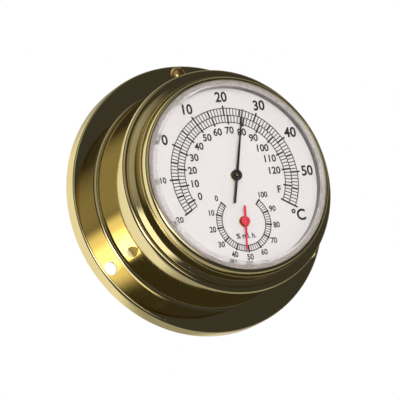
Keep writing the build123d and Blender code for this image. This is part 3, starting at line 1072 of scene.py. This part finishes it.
class HYGROMETER_OT_finishes(bpy.types.Operator):
    """Makes every material"""

    bl_idname = "hygrometer.finishes"
    bl_label = "Finishes"

    def execute(self, context):
        tints = context.scene.hygrometer_finishes
        brass = tuple(tints.brass)
        finishes.update(
            polished_brass=spun_brass("polished_brass_sheet", brass, 0.05, 0.3),
            turned_brass=spun_brass("turned_brass_bezel", brass, 0.05, 0.25),
            fine_brass=spun_brass("bright_turned_brass", brass, 0.16, 0.1),
            screw_brass=spun_brass("tumbled_brass_screw", colour("E4C483"), 0.2, 0.2),
            dial_enamel=enamel("white_stoved_enamel", tuple(tints.dial)),
            print_ink=ink("black_printing_ink", tuple(tints.print_ink)),
            black_lacquer=lacquer("black_lacquer", tuple(tints.temperature), 0.25),
            red_lacquer=lacquer("red_lacquer", tuple(tints.humidity), 0.3),
            bevelled_glass=clear_glass("bevelled_float_glass", WINDOW_RADIUS),
            cover_plastic=moulded("black_abs_cover", tuple(tints.cover), 0.25, 0.45),
            # The dark grey second colour is painted shade on the ring's inner wall.
            spacer_plastic=turned_plastic(
                "turned_acetal_with_painted_shade", colour("E6E0DC"), colour("6A6462"), WINDOW_RADIUS
            ),
            carrier_plastic=moulded("grey_abs_carrier", colour("8C8E90"), 0.3, 0.4),
            zinc_steel=plated_steel("zinc_plated_steel", colour("C9CCCF"), 0.25),
            bimetal_strip=plated_steel("bimetal_strip", colour("B9B3A4"), 0.3),
            humidity_strip=plated_steel("bronze_humidity_strip", colour("C79A6B"), 0.3),
            gasket_silicone=silicone("clear_silicone_gasket", colour("D9D6CF")),
        )
        return {"FINISHED"}


# ---- floor, light and camera --------------------------------------------------------------------
BOX_EDGE_LEVEL = 1.3  # brightness of the softbox away from its middle
FILL_DISTANCE = 1.3  # in metres, as are the next three
SKY_DISTANCE = 2.0
FLOOR_SIZE = 4.0
CAMERA_DISTANCE = 0.9922
CAMERA_AZIMUTH = -27.76
CAMERA_ELEVATION = -12.04
CAMERA_ROLL = 10.43


class HYGROMETER_OT_stage(bpy.types.Operator):
    """Pale floor, soft studio light and the camera"""

    bl_idname = "hygrometer.stage"
    bl_label = "Floor, light and camera"

    def execute(self, context):
        studio = context.scene.hygrometer_studio
        middle = place(0, AIM)
        self.floor(studio)
        self.surroundings(context.scene, studio)
        front = self.direction(-8.0, 4.0)
        self.lamp("fill", middle, front, FILL_DISTANCE, studio.fill_size, studio.fill_power)
        above = Vector((0, 0, 1))
        behind = place(0, -200)
        self.lamp("sky", behind, above, SKY_DISTANCE, studio.sky_size, studio.sky_power)
        self.camera(context.scene, middle)
        return {"FINISHED"}

    def floor(self, studio):
        rest()
        bpy.ops.mesh.primitive_plane_add(size=FLOOR_SIZE, location=(0, 0, -studio.floor_drop))
        ground = bpy.context.object
        ground.name = "floor"
        made, tree, where = blank("pale_floor")
        mottle = add(
            tree, "TexNoise", {"Vector": where, "Scale": 3.0, "Detail": 3.0}
        ).outputs["Fac"]
        paint = add(
            tree,
            "Mix",
            {0: mottle, 6: colour("EBEAE8"), 7: colour("F2F1EF")},
            data_type="RGBA",
        ).outputs[2]
        show(tree, add(tree, "BsdfDiffuse", {"Color": paint}).outputs[0])
        ground.data.materials.append(made)
        ground.visible_glossy = False

    def surroundings(self, scene, studio):
        """A white room behind the object, a dim one in front and a soft-edged softbox low in it."""
        world = bpy.data.worlds.new("studio")
        scene.world = world
        world.use_nodes = True
        tree = world.node_tree
        tree.nodes.clear()
        way = add(tree, "TexCoord").outputs["Generated"]
        axes = add(tree, "SeparateXYZ", {0: way})
        across, away, up = (axes.outputs[axis] for axis in "XYZ")

        def run(kind, *values, **settings):
            return add(tree, kind, values, **settings).outputs[0]

        times, plus = {"operation": "MULTIPLY"}, {"operation": "MULTIPLY_ADD"}
        ease = {"interpolation_type": "SMOOTHSTEP"}
        down = run("Math", up, -1.0, **times)
        left = run("Math", across, -1.0, **times)
        front = run("Math", away, -1.0, **times)

        # The back wall fades towards its top right corner and towards the floor.
        corner = run("MapRange", run("Math", up, 0.7, across, **plus), 0.1, 0.75, **ease)
        low = run("MapRange", run("Math", across, 0.3, down, **plus), 0.33, 0.5, **ease)
        bright = run("Math", corner, -0.7, 1.0, **plus)
        clear = run("Math", low, -0.6, 1.0, **plus)
        behind = run("MapRange", away, -0.05, 0.12, **ease)
        wall = run("Math", run("Math", bright, clear, **times), behind, **times)
        # The room in front is dim, and a little brighter above on the left.
        upper = run("MapRange", up, -0.15, 0.15, **ease)
        side = run("MapRange", run("Math", up, 0.5, left, **plus), 0.2, 0.5, **ease)
        ahead = run("MapRange", away, -0.2, -0.6, **ease)
        glow = run("Math", run("Math", side, upper, **times), ahead, **times)
        before = run("MapRange", away, 0.12, -0.05, **ease)
        room = run("Math", run("Math", glow, 0.33, 0.05, **plus), before, **times)
        # The softbox is 46 degrees wide and 21.5 high, and brightest near its left edge.
        turn = run("Math", across, front, operation="ARCTAN2")
        rise = run("Math", up, operation="ARCSINE")

        def between(angle, low, high, soft):
            low, high, soft = (math.radians(a) for a in (low, high, soft))
            begin = run("MapRange", angle, low - soft, low + soft, **ease)
            end = run("MapRange", angle, high + soft, high - soft, **ease)
            return run("Math", begin, end, **times)

        wide, tall = between(turn, -37.0, 9.0, 3.0), between(rise, -20.0, 1.5, 3.0)
        box = run("Math", wide, tall, **times)
        wide, tall = between(turn, -33.0, -22.0, 6.0), between(rise, -18.0, -7.0, 5.0)
        hot = run("Math", wide, tall, **times)
        level = run("Math", hot, studio.box_level - BOX_EDGE_LEVEL, BOX_EDGE_LEVEL, **plus)
        lamp = run("Math", box, level, **times)
        total = run("Math", run("Math", room, lamp, operation="ADD"), wall, operation="ADD")
        seen = add(tree, "LightPath").outputs["Is Camera Ray"]
        strength = add(tree, "Math", {0: total, 1: seen}, operation="MAXIMUM").outputs[0]
        light = add(tree, "Background", {"Color": (1.0, 1.0, 1.0, 1.0), "Strength": strength})
        add(tree, "OutputWorld", {"Surface": light.outputs[0]})

    def direction(self, azimuth, elevation):
        """The way from the dial towards an azimuth, to the right of -Y, and an elevation."""
        a, e = math.radians(azimuth), math.radians(elevation)
        return Vector((math.sin(a) * math.cos(e), -math.cos(a) * math.cos(e), math.sin(e)))

    def lamp(self, name, target, back, distance, size, power):
        """A diffuse round light that the polished metal doesn't mirror."""
        rest()
        bpy.ops.object.light_add(
            type="AREA",
            location=target + back * distance,
            rotation=back.to_track_quat("Z", "Y").to_euler(),
        )
        lamp = bpy.context.object
        lamp.name = name
        lamp.data.shape = "DISK"
        lamp.data.size = size
        lamp.data.energy = power
        lamp.data.color = (1.0, 0.995, 1.0)
        lamp.visible_camera = False
        lamp.visible_glossy = False

    def camera(self, scene, middle):
        azimuth, roll = math.radians(CAMERA_AZIMUTH), math.radians(CAMERA_ROLL)
        back = self.direction(CAMERA_AZIMUTH, CAMERA_ELEVATION)
        level = Vector((math.cos(azimuth), math.sin(azimuth), 0.0))
        upright = back.cross(level)
        right = math.cos(roll) * level - math.sin(roll) * upright
        up = math.sin(roll) * level + math.cos(roll) * upright
        rest()
        bpy.ops.object.camera_add(
            location=middle - 0.01203 * right - 0.00821 * up + CAMERA_DISTANCE * back,
            rotation=Matrix((right, up, back)).transposed().to_euler(),
        )
        eye = bpy.context.object
        eye.name = "camera"
        eye.data.lens = 261.3
        eye.data.sensor_width = 36.0
        eye.data.clip_start = 0.01
        eye.data.clip_end = 20.0
        scene.camera = eye
        scene.view_settings.view_transform = "Standard"


# ---- sidebar and registration -------------------------------------------------------------------
BUILD_ORDER = (
    HYGROMETER_OT_finishes,
    HYGROMETER_OT_flange,
    HYGROMETER_OT_drum,
    HYGROMETER_OT_bezel,
    HYGROMETER_OT_glass,
    HYGROMETER_OT_dial,
    HYGROMETER_OT_pointers,
    HYGROMETER_OT_wall_screw,
    HYGROMETER_OT_inside,
    HYGROMETER_OT_stage,
)


class HYGROMETER_PT_sidebar(bpy.types.Panel):
    """Lists every piece's operator and the sizes and colours"""

    bl_label = "Porthole hygrometer"
    bl_idname = "HYGROMETER_PT_sidebar"
    bl_space_type = "VIEW_3D"
    bl_region_type = "UI"
    bl_category = "Hygrometer"

    def draw(self, context):
        for step in BUILD_ORDER:
            self.layout.operator(step.bl_idname)
        for name in GROUPS:
            group = getattr(context.scene, name)
            box = self.layout.box()
            for prop in group.bl_rna.properties:
                if prop.identifier not in ("rna_type", "name"):
                    box.prop(group, prop.identifier)


GROUPS = {
    "hygrometer_dial": HygrometerDialSizes,
    "hygrometer_finishes": HygrometerFinishes,
    "hygrometer_turning": HygrometerTurning,
    "hygrometer_studio": HygrometerStudio,
}


def register():
    for name, group in GROUPS.items():
        bpy.utils.register_class(group)
        setattr(bpy.types.Scene, name, PointerProperty(type=group))
    for kind in (*BUILD_ORDER, HYGROMETER_PT_sidebar):
        bpy.utils.register_class(kind)


def unregister():
    for kind in (HYGROMETER_PT_sidebar, *reversed(BUILD_ORDER)):
        bpy.utils.unregister_class(kind)
    for name, group in GROUPS.items():
        delattr(bpy.types.Scene, name)
        bpy.utils.unregister_class(group)


def main():
    register()
    for step in BUILD_ORDER:
        family, action = step.bl_idname.split(".")
        getattr(getattr(bpy.ops, family), action)()
    rest()


if __name__ == "__main__":
    main()
